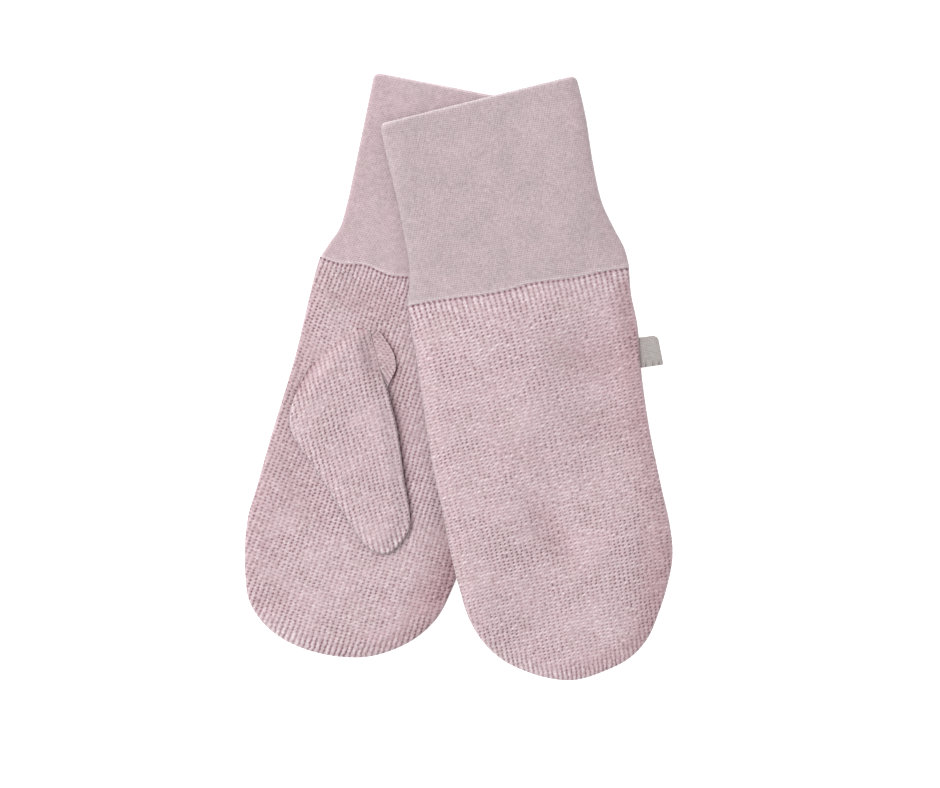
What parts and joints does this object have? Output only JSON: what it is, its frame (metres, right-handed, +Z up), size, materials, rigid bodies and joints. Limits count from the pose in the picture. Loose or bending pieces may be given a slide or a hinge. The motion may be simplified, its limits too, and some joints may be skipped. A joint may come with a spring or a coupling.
{
  "type": "pair of baby mittens",
  "caption": "Knitted baby mittens with long smooth cuffs and a thumb folded across the palm, laid flat with the left one over the right one.",
  "frame": {"origin": "on the surface that the pair rests on, under the middle of its outline", "axes": "+Z up from the surface, -Y towards the finger tips, +X to the right as seen from above"},
  "size_m": [0.1496, 0.2122, 0.0134],
  "materials": {
    "body_knit": "coarse stocking stitch in dusty pink melange yarn, matt with a soft wool nap",
    "cuff_knit": "fine smooth knit in greyer pink melange yarn, folded double, matt",
    "label_tape": "grey woven tape, folded, blank, slightly satin"
  },
  "bodies": {
    "root": {"right_back": "body_knit", "right_palm": "body_knit", "right_thumb_inner": "body_knit", "right_thumb_outer": "body_knit", "right_cuff": "cuff_knit", "left_palm": "body_knit", "left_back": "body_knit", "left_thumb_inner": "body_knit", "left_thumb_outer": "body_knit", "left_cuff": "cuff_knit", "left_label": "label_tape"}
  },
  "joints": []
}
